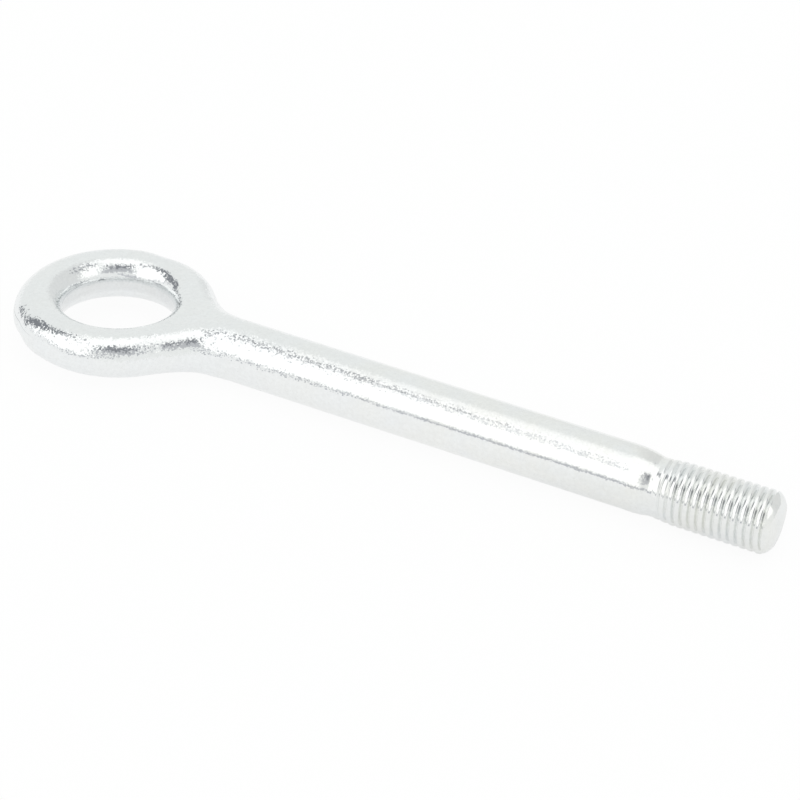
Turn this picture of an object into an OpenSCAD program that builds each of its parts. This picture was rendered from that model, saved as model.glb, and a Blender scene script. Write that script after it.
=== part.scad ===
// Screw-in tow eye, drop forged in one piece and zinc plated.
// The origin is the centre of the eye's bore, +Z runs along the bore,
// and +X runs along the shank to its threaded end. All sizes are in mm.

/* [Eye] */
// Outside diameter of the eye
eye_od = 54; // [48:0.5:66]
// Forged thickness of the eye
eye_t = 12.1; // [10:0.1:15]
// Diameter of the punched bore
bore_d = 28.4; // [22:0.1:34]
// Height of the straight punched wall in the bore
bore_wall_h = 2.4; // [1:0.2:8]
// Radius of the forged edge between that wall and the flat of the eye
bore_edge_r = 5.65; // [4:0.05:8]

/* [Neck] */
// Radius of the two side fillets between the eye and the shank, seen from above
neck_r = 17.5; // [12:0.5:30]

/* [Shank] */
// Diameter of the shank
shank_d = 16.2; // [16.2:0.1:20]
// From the centre of the eye to the end face of the thread
reach = 182.7; // [140:0.1:240]

/* [Shoulder] */
// Length of the taper from the shank down to the thread blank
shoulder_l = 4; // [2:0.5:10]

/* [Thread] */
// Nominal diameter of the thread
thread_d = 16; // [12:0.5:16]
// Pitch of the right-hand thread
thread_pitch = 2; // [1.5:0.25:2.5]
// Length of the threaded end, from the shoulder to the end face
thread_l = 28.8; // [20:0.1:45]
// Length over which the thread grows to its full height
runout_l = 4; // [2:0.5:8]
// Direction in which the thread starts, in degrees round the shank
thread_start = -108; // [-180:9:180]
// Length of the lead-in at the end face
lead_l = 2.8; // [1:0.1:4]
// How far the lead-in narrows the radius
lead_depth = 2.1; // [0.5:0.1:3]
// Radius of the shallow dimple in the end face
dimple_r = 1.4; // [0.8:0.1:3]
// Depth of that dimple
dimple_depth = 0.5; // [0.2:0.1:1]

/* [Smoothness] */
// Flats round one turn of the thread
turn_sides = 40; // [24:4:48]
// Steps along each side fillet of the neck
neck_steps = 18; // [10:1:24]
// Steps round the forged edge of the neck, from its underside to its top
edge_steps = 22; // [12:2:28]

/* [Hidden] */
$fn = 96;

// How far one shape runs into the next, and how far its skin stays inside there
lap = 0.2;
inset = 0.06;

eye_r = eye_od / 2;
rim_r = eye_t / 2;
bore_r = bore_d / 2;
shank_r = shank_d / 2;

// Forged edge of the bore: height of its arc's centre, and where it meets the flat.
// The arc passes this little above the flat, so the two cross instead of only touching.
edge_over = 0.03;
bore_arc_z = rim_r + edge_over - bore_edge_r;
bore_arc_x = bore_r + sqrt(pow(bore_edge_r, 2) - pow(bore_wall_h / 2 - bore_arc_z, 2));

// Centre of a side fillet, and the directions in which it touches the rim and the shank
neck_y = shank_r + neck_r;
neck_x = sqrt(pow(eye_r + neck_r, 2) - pow(neck_y, 2));
rim_touch = atan2(neck_y, neck_x);
shank_touch = 270;

// The neck begins this far round the rim, where the whole ring is still round
neck_lap = 12;
neck_from = rim_touch + neck_lap;
rim_steps = 3;
// Its top stays level beside the bore, then rises to the shank from this direction on
rise_gap = 0.5;
rise_from = 360 - acos((bore_arc_x + rise_gap - neck_x) / (neck_r + rim_r));
// The edge stops just short of upright, which keeps a narrow flat on top
edge_top = 88;
bore_stock = 1.5;

// Basic profile of the thread, from its pitch
crest_w = thread_pitch / 8;
thread_h = 0.6134 * thread_pitch;
flank_w = thread_h * tan(30);
thread_r = thread_d / 2;
root_r = thread_r - thread_h;
// A rolled thread starts from a blank at its pitch diameter, a small step below the taper
blank_r = thread_r - 0.3248 * thread_pitch;
blank_step = 0.1;
end_r = thread_r - lead_depth;
shoulder_x = reach - thread_l - shoulder_l;
blank_x = reach - thread_l;
shoulder_steps = 8;

// Places along one pitch where the profile turns, with the radius at each
turn_x = [0, crest_w, crest_w + flank_w, thread_pitch - flank_w];
turn_r = [thread_r, thread_r, root_r, root_r];
helix_x = blank_x + lap;
helix_end_gap = 0.4;
helix_steps = floor(((reach - helix_end_gap - helix_x) / thread_pitch - 1) * turn_sides);

function ease(t) = t * t * (3 - 2 * t);
function clamp01(t) = max(0, min(1, t));
function along(a, b, t) = a + (b - a) * t;
function dir(a) = [cos(a), sin(a)];

// Section of the whole ring: flat above and below, half round at the rim
module eye_section() {
    translate([bore_r - bore_stock, -rim_r])
        square([eye_r - rim_r - bore_r + bore_stock, eye_t]);
    intersection() {
        translate([eye_r - rim_r, 0])
            circle(r = rim_r);
        translate([eye_r - rim_r, -eye_t])
            square([eye_t, 2 * eye_t]);
    }
}

// The ring, open where the neck joins it
module eye_ring() {
    gap = neck_from - asin(lap / eye_r);
    rotate([0, 0, gap])
        rotate_extrude(angle = 360 - 2 * gap)
            eye_section();
}

// One place along the neck's outline: a point, the way in from it, and the edge's radius
function rim_place(a) = [
    (eye_r - inset) * dir(a),
    -dir(a),
    rim_r - inset
];
function fillet_place(a) = [
    [neck_x, neck_y] + (neck_r + inset) * dir(a),
    dir(a),
    along(rim_r, shank_r, ease(clamp01((a - rise_from) / (shank_touch - rise_from)))) - inset
];
function shank_place(x) = [[x, shank_r - inset], [0, -1], shank_r - inset];

places = concat(
    [for (i = [0:rim_steps - 1]) rim_place(along(neck_from, rim_touch, i / rim_steps))],
    [for (i = [0:neck_steps]) fillet_place(along(180 + rim_touch, shank_touch, i / neck_steps))],
    [shank_place(neck_x + lap)]
);

// The rounded edge at a place, from its underside to its top, on the side given
function edge_points(place, side) = [
    for (j = [0:edge_steps])
        let (
            a = along(-edge_top, edge_top, j / edge_steps),
            p = place[0] + place[1] * place[2] * (1 - cos(a))
        )
        [p.x, side * p.y, place[2] * sin(a)]
];

// The neck, lofted along its outline from the ring to the round shank
module neck_forging() {
    row = edge_steps + 1;
    last = len(places) - 1;
    first = places[0];
    start_z = first[2] * sin(edge_top);
    start = (bore_r - bore_stock) * dir(neck_from);
    inner = len(places) * 2 * row;

    points = concat(
        [for (place = places, side = [1, -1]) each edge_points(place, side)],
        [for (side = [1, -1], z = [-start_z, start_z]) [start.x, side * start.y, z]]
    );
    left_faces = [
        for (k = [0:last - 1], j = [0:edge_steps - 1])
            let (p = 2 * k * row + j, q = p + 2 * row)
            each [[p, q, q + 1], [p, q + 1, p + 1]]
    ];
    right_faces = [
        for (k = [0:last - 1], j = [0:edge_steps - 1])
            let (p = (2 * k + 1) * row + j, q = p + 2 * row)
            each [[p, q + 1, q], [p, p + 1, q + 1]]
    ];
    flat_faces = [
        for (k = [0:last - 1])
            let (p = 2 * k * row, q = p + 2 * row, top = edge_steps)
            each [
                [p + top, q + top, q + row + top, p + row + top],
                [p, p + row, q + row, q]
            ]
    ];
    start_faces = [
        [for (j = [0:edge_steps]) j, inner + 1, inner],
        [inner + 2, inner + 3, for (j = [edge_steps:-1:0]) row + j],
        [inner, inner + 1, inner + 3, inner + 2],
        [inner + 1, edge_steps, row + edge_steps, inner + 3],
        [inner, inner + 2, row, 0]
    ];
    end_face = [
        [
            for (j = [0:edge_steps]) (2 * last + 1) * row + j,
            for (j = [edge_steps:-1:0]) 2 * last * row + j
        ]
    ];
    polyhedron(points, concat(left_faces, right_faces, flat_faces, start_faces, end_face));
}

// Everything inside the bore's straight wall and its two forged edges
module bore_cut() {
    rotate_extrude() {
        translate([0, -eye_t])
            square([bore_r, 2 * eye_t]);
        difference() {
            translate([0, -eye_t])
                square([bore_arc_x, 2 * eye_t]);
            for (side = [-1, 1])
                translate([bore_arc_x, side * bore_arc_z])
                    circle(r = bore_edge_r);
            translate([bore_arc_x - bore_edge_r, -bore_arc_z])
                square([bore_edge_r, 2 * bore_arc_z]);
        }
    }
}

// Round shank with the eased taper down to the thread blank
module shank() {
    taper = [
        for (i = [0:shoulder_steps])
            let (t = i / shoulder_steps)
            [along(shank_r, blank_r + blank_step, ease(t)), shoulder_x + shoulder_l * t]
    ];
    rotate([90, 0, 90])
        rotate_extrude()
            polygon(concat([[0, neck_x], [shank_r, neck_x]], taper, [[0, blank_x]]));
}

// Radius of the thread at distance x, where the full thread would have radius r
function thread_at(x, r) = min(
    along(blank_r, r, clamp01((x - helix_x) / runout_l)),
    end_r + (reach - x) * lead_depth / lead_l
);
function thread_point(step, part) =
    let (
        x = helix_x + thread_pitch * step / turn_sides + turn_x[part],
        a = 360 * step / turn_sides,
        r = thread_at(x, turn_r[part])
    )
    [x, r * cos(a), r * sin(a)];
function ring_points(x, r, from) = [
    for (k = [0:turn_sides - 1])
        let (a = 360 * (from + k) / turn_sides)
        [x, r * cos(a), r * sin(a)]
];

// The threaded end as one closed helical skin, with its lead-in and dimple
module thread() {
    n = turn_sides;
    steps = helix_steps;
    parts = len(turn_x);
    sides = steps + n + 1;
    start = sides + (steps + 1) * (parts - 1);
    end = start + n;
    hollow = end + n;
    centre = hollow + n;

    // Number of a helix point: the last part of one turn is the first of the next
    function at(i, j) = j == 0 ? i : j == parts ? i + n : sides + (parts - 1) * i + j - 1;

    points = concat(
        [for (i = [0:steps + n]) thread_point(i, 0)],
        [for (i = [0:steps], j = [1:parts - 1]) thread_point(i, j)],
        ring_points(blank_x - lap, blank_r, 0),
        ring_points(reach, end_r, steps),
        ring_points(reach, dimple_r, steps),
        [[reach - dimple_depth, 0, 0]]
    );
    helix_faces = [
        for (i = [0:steps - 1], j = [0:parts - 1])
            each [[at(i, j), at(i, j + 1), at(i + 1, j)], [at(i, j + 1), at(i + 1, j + 1), at(i + 1, j)]]
    ];
    first_turn = [
        for (k = [0:n - 2])
            each [[start + k, k, start + k + 1], [k, k + 1, start + k + 1]]
    ];
    first_step = concat(
        [for (j = [0:parts - 1]) [n - 1, at(0, j + 1), at(0, j)]],
        [[n - 1, at(0, 0), start], [n - 1, start, start + n - 1]]
    );
    last_turn = [
        for (k = [1:n - 1])
            let (p = steps + k, q = end + (k + 1) % n)
            each [[p, end + k, q], [p, q, p + 1]]
    ];
    last_step = concat(
        [for (j = [0:parts - 1]) [steps + 1, at(steps, j), at(steps, j + 1)]],
        [[steps + 1, steps + n, end], [steps + 1, end, end + 1]]
    );
    end_faces = [
        for (k = [0:n - 1])
            let (q = (k + 1) % n)
            each [
                [end + k, hollow + k, end + q],
                [hollow + k, hollow + q, end + q],
                [hollow + k, centre, hollow + q]
            ]
    ];
    start_face = [[for (k = [0:n - 1]) start + k]];
    polyhedron(points, concat(
        helix_faces, first_turn, first_step, last_turn, last_step, end_faces, start_face
    ));
}

module tow_eye() {
    color("silver") {
        difference() {
            union() {
                eye_ring();
                neck_forging();
            }
            bore_cut();
        }
        shank();
        rotate([thread_start, 0, 0])
            thread();
    }
}

tow_eye();
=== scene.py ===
import math

import bmesh
import bpy
import numpy as np
from mathutils import Matrix, Vector
from mathutils import noise as solidNoise


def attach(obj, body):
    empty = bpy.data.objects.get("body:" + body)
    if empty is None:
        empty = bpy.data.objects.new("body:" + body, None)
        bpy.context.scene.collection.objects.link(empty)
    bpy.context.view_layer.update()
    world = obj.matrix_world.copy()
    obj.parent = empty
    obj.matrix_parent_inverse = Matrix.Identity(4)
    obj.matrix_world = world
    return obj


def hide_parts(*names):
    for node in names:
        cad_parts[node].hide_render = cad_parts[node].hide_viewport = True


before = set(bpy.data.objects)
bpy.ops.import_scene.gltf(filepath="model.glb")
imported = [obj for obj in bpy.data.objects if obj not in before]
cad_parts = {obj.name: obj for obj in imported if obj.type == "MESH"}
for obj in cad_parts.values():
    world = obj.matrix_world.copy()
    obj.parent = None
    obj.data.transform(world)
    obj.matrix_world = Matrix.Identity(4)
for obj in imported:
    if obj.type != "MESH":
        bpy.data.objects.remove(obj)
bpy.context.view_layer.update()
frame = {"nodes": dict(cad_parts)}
mm = 0.001
closeBy = 1e-7  # metres, points this near are one
print("frame:", ", ".join(frame["nodes"]))


# Short names for the nodes that the trees below use most
class Nodes:
    def __init__(self, tree):
        self.tree = tree

    def add(self, kind, **settings):
        node = self.tree.nodes.new(kind)
        for name, value in settings.items():
            setattr(node, name, value)
        return node

    def put(self, socket, value):
        if isinstance(value, bpy.types.NodeSocket):
            self.tree.links.new(value, socket)
        elif value is not None:
            socket.default_value = value

    # Sockets and numbers mix freely as inputs; the result is the output socket
    def math(self, operation, first, second=None, third=None, clamp=False):
        node = self.add("ShaderNodeMath", operation=operation, use_clamp=clamp)
        for socket, value in zip(node.inputs, (first, second, third)):
            self.put(socket, value)
        return node.outputs[0]

    def mapRange(self, value, low, high, toLow=0.0, toHigh=1.0, how="LINEAR"):
        node = self.add("ShaderNodeMapRange", interpolation_type=how, clamp=True)
        for socket, number in zip(node.inputs, (value, low, high, toLow, toHigh)):
            self.put(socket, number)
        return node.outputs[0]

    def noise(self, where, scale, detail=2.0, roughness=0.5):
        node = self.add("ShaderNodeTexNoise")
        self.put(node.inputs["Vector"], where)
        node.inputs["Scale"].default_value = scale
        node.inputs["Detail"].default_value = detail
        node.inputs["Roughness"].default_value = roughness
        return node.outputs[0]


# Forged body: ring, neck, shank and shoulder, in millimetres
forging = {
    "eyeRadius": 27.0,
    "eyeHeight": 12.1,
    "boreRadius": 14.2,
    "boreArcs": ((4.6, 90, 50), (6.15, 50, 22), (8.0, 22, 6)),  # radius, and slope from and to
    "boreStep": 4,  # degrees
    "wallSteps": 4,
    "neckRadius": 17.5,
    "topFlatTo": 0.5,  # the top stays flat this far past the bore's forged edge
    "shankRadius": 8.1,
    "shoulderFrom": 144.5,
    "shoulderTo": 151.8,
    "shoulderCurve": 2.5,  # above 1, so it begins gently and ends at an edge
    "threadFrom": 152.525,
    "blankRadius": 7.35,
    "endFace": 182.69,
    "endRadius": 5.9,
    "quarterSteps": 32,
    "eyeStep": 1.1,
    "shankStep": 1.0,
    "filletSteps": (14, 22),  # beside the ring, then along the neck
    "topSteps": 200,
    "shoulderSteps": 12,
    "blankSteps": 3,
}

# The forged outline wanders off its true arcs, each side in its own way. Degrees turned along it from
# the outer end of the eye to the shank, and millimetres outwards
unevenOutline = {
    "near": (
        (0, -0.03), (40, 0.0), (49, -0.35), (60, 0.0), (76, -0.25),
        (137, -0.2), (159, 0.55), (178, 0.0), (187, 0.2), (200, 0.0),
    ),
    "far": (
        (0, -0.03), (40, 0.1), (72, 0.12), (90, -0.7), (110, -0.2),
        (125, -0.4), (140, -0.75), (155, -0.1), (165, 0.1), (200, 0.0),
    ),
}

rimRadius = forging["eyeHeight"] / 2
shankRadius = forging["shankRadius"]
neckY = shankRadius + forging["neckRadius"]
neckX = math.sqrt((forging["eyeRadius"] + forging["neckRadius"]) ** 2 - neckY ** 2)
rimTouch = math.degrees(math.atan2(neckY, neckX))
boreArcX = forging["boreRadius"] + sum(
    radius * (math.cos(math.radians(toSlope)) - math.cos(math.radians(fromSlope)))
    for radius, fromSlope, toSlope in forging["boreArcs"]
)
riseX = boreArcX + forging["topFlatTo"]
riseFrom = 360 - math.degrees(math.acos((riseX - neckX) / (forging["neckRadius"] + rimRadius)))


def ease(t):
    t = np.clip(t, 0, 1)
    return t * t * (3 - 2 * t)


def direction(degrees):
    return np.array([math.cos(math.radians(degrees)), math.sin(math.radians(degrees))])


# The rounded edge grows from the rim's radius to the shank's along the neck
def edgeRadius(angle):
    return rimRadius + (shankRadius - rimRadius) * ease((angle - riseFrom) / (270 - riseFrom))


# Height of the neck's flat top at x, from where each rounded edge ends
edgeAngles = np.linspace(riseFrom, 270, forging["topSteps"])
edgeRadii = edgeRadius(edgeAngles)
edgeEnds = neckX + (forging["neckRadius"] + edgeRadii) * np.cos(np.radians(edgeAngles))


def topHeight(x):
    return float(np.interp(x, edgeEnds, edgeRadii))


# The knots of unevenOutline, eased from one to the next
def outlineShift(side, turned):
    knots = unevenOutline[side]
    for (a, low), (b, high) in zip(knots, knots[1:]):
        if turned <= b:
            return low + (high - low) * float(ease((turned - a) / (b - a)))
    return knots[-1][1]


# One quarter section: the rounded edge, then straight on to a point inside, at even steps
def quarterSection(trueOuter, inward, radius, inner, shift=0.0):
    outer = trueOuter - inward * shift
    flatFrom = outer + inward * radius
    trueFlatX = trueOuter[0] + inward[0] * radius
    flat = float(np.linalg.norm(inner - flatFrom))
    arc = radius * math.pi / 2
    points = []
    for j in range(forging["quarterSteps"] + 1):
        s = (arc + flat) * j / forging["quarterSteps"]
        if s <= arc:
            a = s / radius
            p = outer + inward * radius * (1 - math.cos(a))
            points.append((p[0], p[1], radius * math.sin(a)))
        else:
            t = (s - arc) / flat
            p = flatFrom + (inner - flatFrom) * t
            points.append((p[0], p[1], topHeight(trueFlatX + (inner[0] - trueFlatX) * t)))
    return points


# Forged edge of the bore, as arcs that follow one another, then the punched wall: radius and height
def boreSection():
    point = np.array([boreArcX, rimRadius])
    places = []
    for radius, fromSlope, toSlope in forging["boreArcs"]:
        centre = point - radius * direction(180 - fromSlope)
        steps = int((fromSlope - toSlope) / forging["boreStep"])
        for slope in np.linspace(fromSlope, toSlope, steps + 1)[1:]:
            places.append(centre + radius * direction(180 - slope))
        point = places[-1]
    for z in np.linspace(point[1], 0, forging["wallSteps"] + 1)[1:]:
        places.append(np.array([forging["boreRadius"], z]))
    return places


# Places along the outline: point, way in, edge radius, inner point and the shift at that place
def ringStations(side):
    stations = []
    arc = math.radians(180 - rimTouch) * forging["eyeRadius"]
    for a in np.linspace(180, rimTouch, int(arc / forging["eyeStep"]) + 1):
        line = direction(a)
        shift = outlineShift(side, 180 - a)
        stations.append((forging["eyeRadius"] * line, -line, rimRadius, boreArcX * line, shift))
    last = 180 + math.degrees(math.atan2(neckY, neckX - boreArcX))
    centre = np.array([neckX, neckY])
    for a in np.linspace(180 + rimTouch, last, forging["filletSteps"][0] + 1)[1:]:
        line = direction(a)
        along = centre @ line
        reach = -along - math.sqrt(max(0.0, along ** 2 - centre @ centre + boreArcX ** 2))
        inner = centre + line * reach
        if a == last:
            inner = np.array([boreArcX, 0.0])
        shift = outlineShift(side, a - 2 * rimTouch)
        outer = centre + forging["neckRadius"] * line
        stations.append((outer, line, float(edgeRadius(a)), inner, shift))
    return stations, last


# From there to the thread: the rest of the fillet, the shank, the shoulder and the bare blank
def neckStations(side, first):
    stations = []
    centre = np.array([neckX, neckY])
    for a in np.linspace(first, 270, forging["filletSteps"][1] + 1)[1:]:
        line = direction(a)
        outer = centre + forging["neckRadius"] * line
        inner = centre + line * neckY / -line[1]
        stations.append((outer, line, float(edgeRadius(a)), inner, outlineShift(side, a - 2 * rimTouch)))

    shoulderFrom, shoulderTo = forging["shoulderFrom"], forging["shoulderTo"]
    steps = int((shoulderFrom - neckX) / forging["shankStep"])
    rounds = [(x, shankRadius) for x in np.linspace(neckX, shoulderFrom, steps + 1)[1:]]
    for t in np.linspace(0, 1, forging["shoulderSteps"] + 1)[1:]:
        drop = (forging["blankRadius"] - shankRadius) * t ** forging["shoulderCurve"]
        rounds.append((shoulderFrom + (shoulderTo - shoulderFrom) * t, float(shankRadius + drop)))
    for x in np.linspace(shoulderTo, forging["threadFrom"], forging["blankSteps"] + 1)[1:]:
        rounds.append((x, rounds[-1][1]))
    for x, r in rounds:
        stations.append((np.array([x, r]), np.array([0.0, -1.0]), r, np.array([x, 0.0])))
    return stations


# Vertices and faces of one side's quarter, with y and z above 0
def quarterBody(side):
    points, faces = [], []
    ring, last = ringStations(side)
    bore = boreSection()
    rows = forging["quarterSteps"] + 1
    full = rows + len(bore)
    for station in ring:
        points += quarterSection(*station)
        inner = station[3]
        out = inner / np.linalg.norm(inner)
        points += [(out[0] * r, out[1] * r, z) for r, z in bore]
    for k in range(len(ring) - 1):
        for j in range(full - 1):
            p = k * full + j
            faces.append((p, p + 1, p + full + 1, p + full))
    starts = [(len(ring) - 1) * full]
    for station in neckStations(side, last):
        starts.append(len(points))
        points += quarterSection(*station)
    for a, b in zip(starts, starts[1:]):
        for j in range(rows - 1):
            faces.append((a + j, a + j + 1, b + j + 1, b + j))
    return points, faces


# Flat end face with its shallow dimple, as rings round the x axis: depth and radius
endRings = [
    (0.0, forging["endRadius"]), (0.0, 5.5), (0.0, 4.4), (0.0, 3.0), (0.0, 2.0),
    (0.03, 1.6), (0.12, 1.3), (0.28, 0.9), (0.41, 0.5),
]
endDepth = 0.47


# The whole body but for the thread: four quarters and the end face, welded
def forgedBody():
    allPoints, allFaces = [], []
    for side, sy in (("far", 1), ("near", -1)):
        points, faces = quarterBody(side)
        for sz in (1, -1):
            base = len(allPoints)
            allPoints += [(x, sy * y, sz * z) for x, y, z in points]
            allFaces += [tuple(base + i for i in face) for face in faces]
    sides = 4 * forging["quarterSteps"]
    base = len(allPoints)
    for depth, radius in endRings:
        for k in range(sides):
            a = 2 * math.pi * k / sides
            allPoints.append((forging["endFace"] - depth, radius * math.cos(a), radius * math.sin(a)))
    allPoints.append((forging["endFace"] - endDepth, 0, 0))
    for row in range(len(endRings) - 1):
        for k in range(sides):
            p, q = base + row * sides, (k + 1) % sides
            allFaces.append((p + k, p + q, p + q + sides, p + k + sides))
    inner = base + (len(endRings) - 1) * sides
    allFaces += [(inner + k, inner + (k + 1) % sides, len(allPoints) - 1) for k in range(sides)]
    mesh = bpy.data.meshes.new("towEye")
    mesh.from_pydata([(x * mm, y * mm, z * mm) for x, y, z in allPoints], [], allFaces)
    work = bmesh.new()
    work.from_mesh(mesh)
    bmesh.ops.remove_doubles(work, verts=work.verts, dist=closeBy)
    work.to_mesh(mesh)
    work.free()
    body = bpy.data.objects.new("tow_eye_body", mesh)
    bpy.context.collection.objects.link(body)
    return body


# Rolled thread, in millimetres: the rolling left its crests bevelled, not filled to a point. The
# root's flat and the bevel's ends are shares of the way from the root to the crest
rolledThread = {
    "Pitch": 2.0,
    "Crest radius": 7.9,
    "Bevel depth": 0.11,
    "Bevel from": 0.46,
    "Bevel to": 0.76,
    "Root flat": 0.05,
    "Root radius": 6.8,
    "Blank radius": forging["blankRadius"],
    "End radius": forging["endRadius"],
    "Start": forging["threadFrom"],
    "End": forging["endFace"],
    "Run-out": 5.6,
    "Lead-in": 2.6,
}
threadGrid = {"perPitch": 24, "seamDegrees": 303.75, "weld": 1e-6}

# Dents of the forging, and how far off its axis the thread was rolled, in millimetres
unevenSurface = {
    "dentDepth": 0.05,
    "dentSize": 4.0,
    "dentContrast": 1.6,
    "smallDents": 2.3,  # times finer
    "smallShare": 0.35,
    "smallPlace": (7, 3, 5),
    "threadShift": (0.0, -0.3, -0.19),
}


def threadTree(material):
    tree = bpy.data.node_groups.new("rolledThread", "GeometryNodeTree")
    tree.interface.new_socket("Geometry", in_out="INPUT", socket_type="NodeSocketGeometry")
    tree.interface.new_socket("Geometry", in_out="OUTPUT", socket_type="NodeSocketGeometry")
    for name, value in rolledThread.items():
        socket = tree.interface.new_socket(name, in_out="INPUT", socket_type="NodeSocketFloat")
        socket.default_value = value
    tree.interface.new_socket("Material", in_out="INPUT", socket_type="NodeSocketMaterial")
    n = Nodes(tree)
    given = n.add("NodeGroupInput").outputs
    perPitch, sides = threadGrid["perPitch"], 4 * forging["quarterSteps"]

    # A grid whose rows follow the helix and whose columns go round it
    length = n.math("SUBTRACT", given["End"], given["Start"])
    pitches = n.math("DIVIDE", length, given["Pitch"])
    rows = n.math("ADD", n.math("CEIL", n.math("MULTIPLY", pitches, perPitch)), perPitch)
    grid = n.add("GeometryNodeMeshGrid")
    n.put(grid.inputs["Vertices X"], n.math("ADD", rows, 1))
    n.put(grid.inputs["Vertices Y"], sides + 1)
    n.put(grid.inputs["Size X"], rows)
    n.put(grid.inputs["Size Y"], float(sides))
    place = n.add("ShaderNodeSeparateXYZ")
    n.put(place.inputs[0], n.add("GeometryNodeInputPosition").outputs[0])
    row = n.math("ROUND", n.math("ADD", place.outputs[0], n.math("MULTIPLY", rows, 0.5)))
    turn = n.math("DIVIDE", n.math("ROUND", n.math("ADD", place.outputs[1], sides / 2)), sides)
    turns = n.math("SUBTRACT", n.math("DIVIDE", row, perPitch), 1.0)
    x = n.math("MULTIPLY_ADD", n.math("ADD", turns, turn), given["Pitch"], given["Start"])
    x = n.math("MINIMUM", n.math("MAXIMUM", x, given["Start"]), given["End"])

    # Radius: root, flank and bevelled crest, rising at the run-out and held under the lead-in
    share = n.math("FRACT", n.math("DIVIDE", row, perPitch))
    fromRoot = n.math("ABSOLUTE", n.math("MULTIPLY_ADD", share, 2.0, -1.0))
    flankTop = n.math("SUBTRACT", given["Crest radius"], given["Bevel depth"])
    flank = n.mapRange(fromRoot, given["Root flat"], given["Bevel from"], given["Root radius"], flankTop)
    bevel = n.mapRange(fromRoot, given["Bevel from"], given["Bevel to"], 0.0, given["Bevel depth"])
    radius = n.math("ADD", flank, bevel)
    grown = n.mapRange(n.math("SUBTRACT", x, given["Start"]), 0.0, given["Run-out"])
    radius = n.mapRange(grown, 0.0, 1.0, given["Blank radius"], radius)
    leadShare = n.math("DIVIDE", n.math("SUBTRACT", given["End"], x), given["Lead-in"], clamp=True)
    lead = n.math("SUBTRACT", 1.0, n.math("POWER", n.math("SUBTRACT", 1.0, leadShare), 2.0))
    leadHeight = n.math("SUBTRACT", given["Crest radius"], given["End radius"])
    lead = n.math("MULTIPLY_ADD", lead, leadHeight, given["End radius"])
    radius = n.math("MINIMUM", radius, lead)
    angle = n.math("MULTIPLY_ADD", turn, 2 * math.pi, math.radians(threadGrid["seamDegrees"]))
    point = n.add("ShaderNodeCombineXYZ")
    n.put(point.inputs[0], x)
    n.put(point.inputs[1], n.math("MULTIPLY", radius, n.math("COSINE", angle)))
    n.put(point.inputs[2], n.math("MULTIPLY", radius, n.math("SINE", angle)))
    inMetres = n.add("ShaderNodeVectorMath", operation="SCALE")
    n.put(inMetres.inputs[0], point.outputs[0])
    inMetres.inputs["Scale"].default_value = mm
    wound = n.add("GeometryNodeSetPosition")
    n.put(wound.inputs["Geometry"], grid.outputs["Mesh"])
    n.put(wound.inputs["Position"], inMetres.outputs[0])

    joined = n.add("GeometryNodeJoinGeometry")
    n.put(joined.inputs[0], given["Geometry"])
    n.put(joined.inputs[0], wound.outputs[0])
    welded = n.add("GeometryNodeMergeByDistance")
    n.put(welded.inputs["Geometry"], joined.outputs[0])
    welded.inputs["Distance"].default_value = threadGrid["weld"]
    realized = n.add("GeometryNodeRealizeInstances")
    n.put(realized.inputs[0], welded.outputs[0])
    painted = n.add("GeometryNodeSetMaterial")
    n.put(painted.inputs["Geometry"], realized.outputs[0])
    n.put(painted.inputs["Material"], given["Material"])
    n.put(n.add("NodeGroupOutput").inputs[0], painted.outputs[0])
    return tree


# Dents go inwards only, so the piece stays within its own size
def roughenSurface(work):
    depth, size = unevenSurface["dentDepth"] * mm, unevenSurface["dentSize"] * mm
    smallShare, smallPlace = unevenSurface["smallShare"], Vector(unevenSurface["smallPlace"])
    threadShift = Vector(unevenSurface["threadShift"]) * mm
    shoulderFrom, shoulderTo = forging["shoulderFrom"], forging["shoulderTo"]
    work.normal_update()
    moves = []
    for v in work.verts:
        shoulder = float(ease((v.co.x / mm - shoulderFrom) / (shoulderTo - shoulderFrom)))
        large = solidNoise.noise(v.co / size)
        small = solidNoise.noise(v.co / size * unevenSurface["smallDents"] + smallPlace)
        value = (large * (1 - smallShare) + small * smallShare) * unevenSurface["dentContrast"]
        dent = depth * (1 - shoulder) * (0.5 + 0.5 * max(-1, min(1, value)))
        moves.append((v, threadShift * shoulder - v.normal * dent))
    for v, move in moves:
        v.co += move


# One plain mesh: the body, the thread wound on by the tree, and the dents
def buildTowEye(material):
    body = forgedBody()
    tree = threadTree(material)
    modifier = body.modifiers.new("rolledThread", "NODES")
    modifier.node_group = tree
    for item in tree.interface.items_tree:
        if item.in_out == "INPUT" and item.name in rolledThread:
            modifier[item.identifier] = float(rolledThread[item.name])
        elif item.in_out == "INPUT" and item.name == "Material":
            modifier[item.identifier] = material
    depsgraph = bpy.context.evaluated_depsgraph_get()
    mesh = bpy.data.meshes.new_from_object(body.evaluated_get(depsgraph), depsgraph=depsgraph)
    mesh.name = "tow_eye_skin"
    work = bmesh.new()
    work.from_mesh(mesh)
    bmesh.ops.dissolve_degenerate(work, edges=work.edges, dist=closeBy)
    bmesh.ops.recalc_face_normals(work, faces=work.faces)
    roughenSurface(work)
    for face in work.faces:
        face.smooth = True
    openEdges = sum(len(edge.link_faces) != 2 for edge in work.edges)
    work.to_mesh(mesh)
    work.free()
    bpy.data.objects.remove(body)
    piece = bpy.data.objects.new("tow_eye_skin", mesh)
    bpy.context.collection.objects.link(piece)
    mesh.calc_loop_triangles()
    triangles = len(mesh.loop_triangles)
    print("tow eye:", len(mesh.vertices), "points,", triangles, "triangles,", openEdges, "open edges")
    return piece


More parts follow.
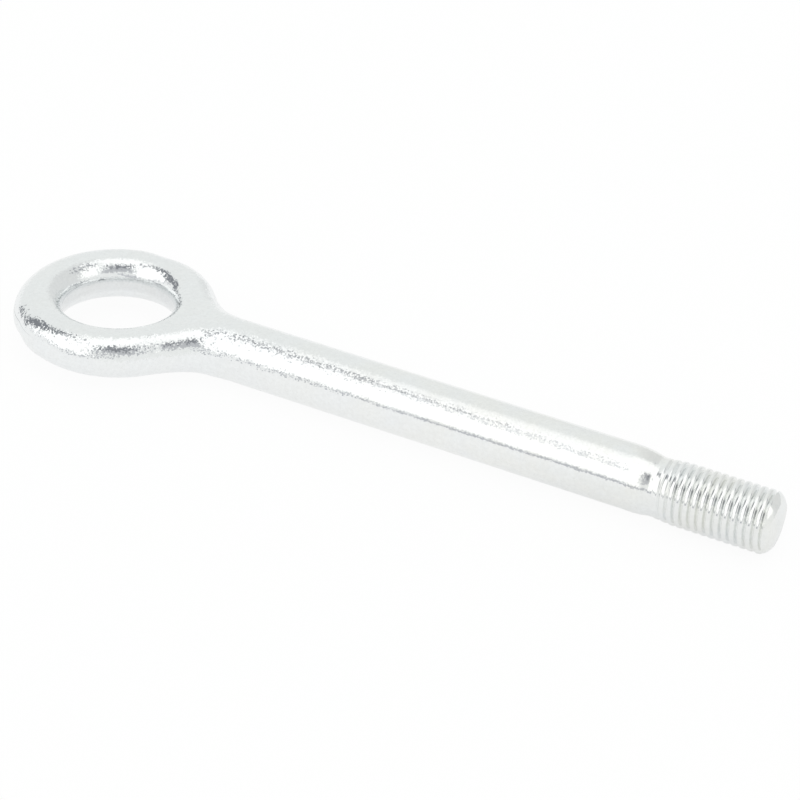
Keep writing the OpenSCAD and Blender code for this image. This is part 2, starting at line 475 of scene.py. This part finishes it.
# Bright zinc over forged steel: small facets of the pickled surface, a passivation tint, painted shade
# on the bore's punched wall and a trim line, in millimetres. Along, Edge and Rounding give where a
# change begins and ends, and Noise the values of a noise between which it does
zincFinish = {
    "coolColour": (0.911, 0.931, 0.942, 1.0),
    "warmColour": (0.915, 0.922, 0.903, 1.0),
    "tintSize": 9.0,
    "tintNoise": (0.35, 0.6),
    "tintLeast": 0.35,
    "tintAlong": (30, 120),
    "mottleSize": 1.1,
    "mottleNoise": (0.35, 0.65),
    "mottle": 0.05,
    # Painted shade: the share the bore's punched wall is darkened to, and the radii over which it
    # changes
    "borePaintedShade": 0.92,
    "borePaintedShadeEdge": (14.3, 14.7),
    "roughness": (0.042, 0.084),
    "roughNoise": (0.3, 0.7),
    "facetSize": 0.38,
    "facetTilt": 0.18,
    "shankTilt": 0.29,
    "shankAlong": (40, 85),
    "boreTilt": 0.3,
    "boreRounding": (14.6, 16.2),
    "threadTilt": 0.08,
    "threadAlong": (151.5, 153.5),
    "fineSize": 0.35,
    "fineHeight": 0.007,
    "trimHeight": 1.7,
    "trimWidth": 0.16,
    "trimCore": 0.3,
    "trimNoise": (0.35, 0.5),
    "trimStrength": (0.2, 0.75),
    "trimAlong": (-10, -20),
    "trimColour": (0.25, 0.27, 0.29, 1.0),
}


def zincMaterial():
    material = bpy.data.materials.new("brightZinc")
    material.use_nodes = True
    tree = material.node_tree
    tree.nodes.clear()
    n = Nodes(tree)
    shader = n.add("ShaderNodeBsdfPrincipled")
    shader.inputs["Metallic"].default_value = 1.0
    where = n.add("ShaderNodeTexCoord").outputs["Object"]
    place = n.add("ShaderNodeSeparateXYZ")
    n.put(place.inputs[0], where)
    x, y, z = place.outputs
    fromBore = n.math("SQRT", n.math("MULTIPLY_ADD", x, x, n.math("POWER", y, 2.0)))

    def between(value, name, first=0.0, second=1.0):
        low, high = zincFinish[name]
        return n.mapRange(value, low * mm, high * mm, first, second)

    def noiseOf(name, **settings):
        return n.noise(where, 1 / (zincFinish[name] * mm), **settings)

    # Facets: each cell leans its own way, less on the shank, in the bore and on the thread
    tilt = zincFinish["facetTilt"]
    along = between(x, "shankAlong", tilt, tilt * zincFinish["shankTilt"])
    along = between(x, "threadAlong", along, tilt * zincFinish["threadTilt"])
    along = n.math("MULTIPLY", along, between(fromBore, "boreRounding", zincFinish["boreTilt"]))
    cells = n.add("ShaderNodeTexVoronoi")
    n.put(cells.inputs["Vector"], where)
    cells.inputs["Scale"].default_value = 1 / (zincFinish["facetSize"] * mm)
    centred = n.add("ShaderNodeVectorMath", operation="SUBTRACT")
    n.put(centred.inputs[0], cells.outputs["Color"])
    centred.inputs[1].default_value = (0.5, 0.5, 0.5)
    lean = n.add("ShaderNodeVectorMath", operation="SCALE")
    n.put(lean.inputs[0], centred.outputs[0])
    n.put(lean.inputs["Scale"], along)
    fine = noiseOf("fineSize")
    bump = n.add("ShaderNodeBump")
    bump.inputs["Distance"].default_value = zincFinish["fineHeight"] * mm
    n.put(bump.inputs["Height"], fine)
    leaning = n.add("ShaderNodeVectorMath", operation="ADD")
    n.put(leaning.inputs[0], bump.outputs[0])
    n.put(leaning.inputs[1], lean.outputs[0])
    facing = n.add("ShaderNodeVectorMath", operation="NORMALIZE")
    n.put(facing.inputs[0], leaning.outputs[0])
    n.put(shader.inputs["Normal"], facing.outputs[0])
    rough = n.mapRange(fine, *zincFinish["roughNoise"], *zincFinish["roughness"])
    n.put(shader.inputs["Roughness"], rough)

    # Passivation tint and mottling, with painted shade darkening the punched wall of the bore
    least = zincFinish["tintLeast"]
    tint = n.mapRange(noiseOf("tintSize", detail=3.0), *zincFinish["tintNoise"], least)
    tint = n.math("MULTIPLY", tint, between(x, "tintAlong", least))
    colour = n.add("ShaderNodeMix", data_type="RGBA")
    n.put(colour.inputs[0], tint)
    n.put(colour.inputs[6], zincFinish["coolColour"])
    n.put(colour.inputs[7], zincFinish["warmColour"])
    mottle = noiseOf("mottleSize", detail=4.0, roughness=0.7)
    mottle = n.mapRange(mottle, *zincFinish["mottleNoise"], 1 - zincFinish["mottle"])
    # Painted shade: the colour is darkened on the bore's punched wall, where shadow falls
    mottle = n.math("MULTIPLY", mottle, between(fromBore, "borePaintedShadeEdge", zincFinish["borePaintedShade"]))
    mottled = n.add("ShaderNodeVectorMath", operation="SCALE")
    n.put(mottled.inputs[0], colour.outputs[2])
    n.put(mottled.inputs["Scale"], mottle)

    # The fine dark line where the flash was trimmed off round the eye
    offTrim = n.math("ABSOLUTE", n.math("SUBTRACT", z, zincFinish["trimHeight"] * mm))
    width = zincFinish["trimWidth"] * mm
    line = n.mapRange(offTrim, width * zincFinish["trimCore"], width, 1.0, 0.0)
    line = n.math("MULTIPLY", line, between(x, "trimAlong"))
    broken = n.mapRange(fine, *zincFinish["trimNoise"], *zincFinish["trimStrength"])
    line = n.math("MULTIPLY", line, broken)
    trimmed = n.add("ShaderNodeMix", data_type="RGBA")
    n.put(trimmed.inputs[0], line)
    n.put(trimmed.inputs[6], mottled.outputs[0])
    n.put(trimmed.inputs[7], zincFinish["trimColour"])
    n.put(shader.inputs["Base Color"], trimmed.outputs[2])
    n.put(n.add("ShaderNodeOutputMaterial").inputs[0], shader.outputs[0])
    return material


zinc = zincMaterial()
towEye = buildTowEye(zinc)
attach(towEye, "root")
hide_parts("tow_eye")


# Camera, fitted to the outline of the ring, the bore and the shank, in millimetres and degrees
camera = {
    "target": (83.7, -2.8, 2.7),
    "azimuth": 24.71,
    "elevation": 32.633,
    "roll": 3.836,
    "distance": 649.8,
    "lens": 117.9,
    "sensor": 36,
    "clip": (10, 20000),
}


def addCamera():
    a, e, r = (math.radians(camera[k]) for k in ("azimuth", "elevation", "roll"))
    back = Vector((math.sin(a) * math.cos(e), -math.cos(a) * math.cos(e), math.sin(e)))
    right = Vector((math.cos(a), math.sin(a), 0))
    up = back.cross(right)
    rolledRight = right * math.cos(r) + up * math.sin(r)
    rolledUp = up * math.cos(r) - right * math.sin(r)
    data = bpy.data.cameras.new("camera")
    data.lens = camera["lens"]
    data.sensor_width = camera["sensor"]
    data.clip_start, data.clip_end = (length * mm for length in camera["clip"])
    eye = bpy.data.objects.new("camera", data)
    place = Vector(camera["target"]) * mm + back * camera["distance"] * mm
    eye.matrix_world = Matrix((
        (rolledRight.x, rolledUp.x, back.x, place.x),
        (rolledRight.y, rolledUp.y, back.y, place.y),
        (rolledRight.z, rolledUp.z, back.z, place.z),
        (0, 0, 0, 1),
    ))
    bpy.context.collection.objects.link(eye)
    bpy.context.scene.camera = eye


addCamera()
print("camera:", camera["lens"], "mm lens at", camera["distance"], "mm")


# Pale floor under the shank, white to the camera but for a faint shadow, in millimetres
stageLook = {
    "floorTop": -8.12,
    "floorSize": 6000.0,
    "floorColour": (0.86, 0.87, 0.86, 1.0),
    "whiteShare": 0.9,
    "whiteLight": 1.025,
    # Glossy rays see the floor glow, less beside the thread: painted shade in the metal's reflection of
    # the floor
    "glossShare": (0.75, 0.6),  # beside the eye, then beside the thread
    "glossAlong": (100, 140),
}


def addFloor():
    size = stageLook["floorSize"] / 2 * mm
    top = stageLook["floorTop"] * mm
    mesh = bpy.data.meshes.new("floor")
    corners = [(-size, -size, top), (size, -size, top), (size, size, top), (-size, size, top)]
    mesh.from_pydata(corners, [], [(0, 1, 2, 3)])
    floor = bpy.data.objects.new("floor", mesh)
    bpy.context.collection.objects.link(floor)
    material = bpy.data.materials.new("paleFloor")
    material.use_nodes = True
    material.node_tree.nodes.clear()
    n = Nodes(material.node_tree)
    matt = n.add("ShaderNodeBsdfDiffuse")
    matt.inputs["Color"].default_value = stageLook["floorColour"]
    white = n.add("ShaderNodeEmission")
    white.inputs["Strength"].default_value = stageLook["whiteLight"]
    light = n.add("ShaderNodeLightPath").outputs
    mix = n.add("ShaderNodeMixShader")
    place = n.add("ShaderNodeSeparateXYZ")
    n.put(place.inputs[0], n.add("ShaderNodeTexCoord").outputs["Object"])
    glossFrom, glossTo = (x * mm for x in stageLook["glossAlong"])
    # Painted shade: the floor glows less for glossy rays beside the thread than beside the eye
    gloss = n.mapRange(place.outputs[0], glossFrom, glossTo, *stageLook["glossShare"])
    share = n.math("MULTIPLY", light["Is Camera Ray"], stageLook["whiteShare"])
    n.put(mix.inputs[0], n.math("MULTIPLY_ADD", light["Is Glossy Ray"], gloss, share))
    n.put(mix.inputs[1], matt.outputs[0])
    n.put(mix.inputs[2], white.outputs[0])
    n.put(n.add("ShaderNodeOutputMaterial").inputs[0], mix.outputs[0])
    mesh.materials.append(material)


addFloor()

# Light tent seen by the metal: soft boxes and gaps, each by azimuth from -Y towards +X, elevation,
# half width and half height in degrees, how far it rises per degree, softness, and how bright it is
tentColour = (0.875, 0.89, 0.88)
tentPanels = {
    "right wall": (150, 22, 42, 42, 0, 10, (0.76, 0.77, 0.765)),
    "front cloth": (40, 5, 62, 26, 0, 5, (0.89, 0.90, 0.89)),
    "front opening": (31.5, 50, 28.5, 23, 0, 3, (0.54, 0.55, 0.57)),
    "opening core": (30, 56, 20, 11, 0, 5, (0.26, 0.27, 0.29)),
    "right gap": (124, 55, 15, 9, 0, 5, (0.42, 0.43, 0.45)),
    "top right gap": (152, 61, 18, 5, 0, 3, (0.42, 0.43, 0.45)),
    "ceiling": (0, 90, 181, 23, 0, 9, (1.14, 1.14, 1.13)),
    "left gap": (-85, 26, 13, 34, 0, 4, (0.24, 0.25, 0.27)),
    "left box": (-36, 45, 33, 34, 0, 2, (1.18, 1.18, 1.17)),
    "top left gap": (-68, 63, 20, 3.0, -0.1, 2.5, (0.45, 0.46, 0.48)),
    "left box seam": (-35, 57.5, 14, 1.5, -0.6, 1.2, (0.66, 0.68, 0.71)),
    "right box": (89.5, 40, 16.5, 22, 0, 3, (1.16, 1.16, 1.14)),
    "table edge": (-45, -2, 42, 12.5, -0.25, 1.5, (0.95, 0.955, 0.95)),
    "table line left": (-47, 11.3, 32, 1.2, -0.25, 1.0, (0.55, 0.56, 0.59)),
    "table line": (5, 10, 27, 3.2, 0.33, 2.2, (0.52, 0.53, 0.56)),
}


def addStudio():
    world = bpy.data.worlds.new("studio")
    bpy.context.scene.world = world
    world.use_nodes = True
    world.node_tree.nodes.clear()
    n = Nodes(world.node_tree)
    way = n.add("ShaderNodeSeparateXYZ")
    n.put(way.inputs[0], n.add("ShaderNodeTexCoord").outputs["Generated"])
    turn = 180 / math.pi
    x, y, z = way.outputs
    azimuth = n.math("MULTIPLY", n.math("ARCTAN2", x, n.math("MULTIPLY", y, -1.0)), turn)
    elevation = n.math("MULTIPLY", n.math("ARCSINE", z), turn)
    colour = (*tentColour, 1.0)
    for name, (across, up, wide, high, rise, soft, light) in tentPanels.items():
        fromMiddle = n.math("WRAP", n.math("SUBTRACT", azimuth, across), 180.0, -180.0)
        offAcross = n.math("ABSOLUTE", fromMiddle)
        middle = n.math("MULTIPLY_ADD", fromMiddle, rise, up)
        offUp = n.math("ABSOLUTE", n.math("SUBTRACT", elevation, middle))
        inside = n.math(
            "MULTIPLY",
            n.mapRange(offAcross, wide - soft, wide + soft, 1.0, 0.0, "SMOOTHSTEP"),
            n.mapRange(offUp, high - soft, high + soft, 1.0, 0.0, "SMOOTHSTEP"),
        )
        mix = n.add("ShaderNodeMix", data_type="RGBA", label=name)
        n.put(mix.inputs[0], inside)
        n.put(mix.inputs[6], colour)
        n.put(mix.inputs[7], (*light, 1.0))
        colour = mix.outputs[2]
    rays = n.add("ShaderNodeLightPath").outputs
    seen = n.add("ShaderNodeMix", data_type="RGBA")
    n.put(seen.inputs[0], rays["Is Camera Ray"])
    n.put(seen.inputs[6], colour)
    n.put(seen.inputs[7], (1.0, 1.0, 1.0, 1.0))
    shade = n.add("ShaderNodeBackground")
    n.put(shade.inputs[0], seen.outputs[2])
    n.put(n.add("ShaderNodeOutputWorld").inputs[0], shade.outputs[0])


addStudio()
print("studio:", len(tentPanels), "panels")

bpy.context.scene.view_settings.view_transform = "Standard"
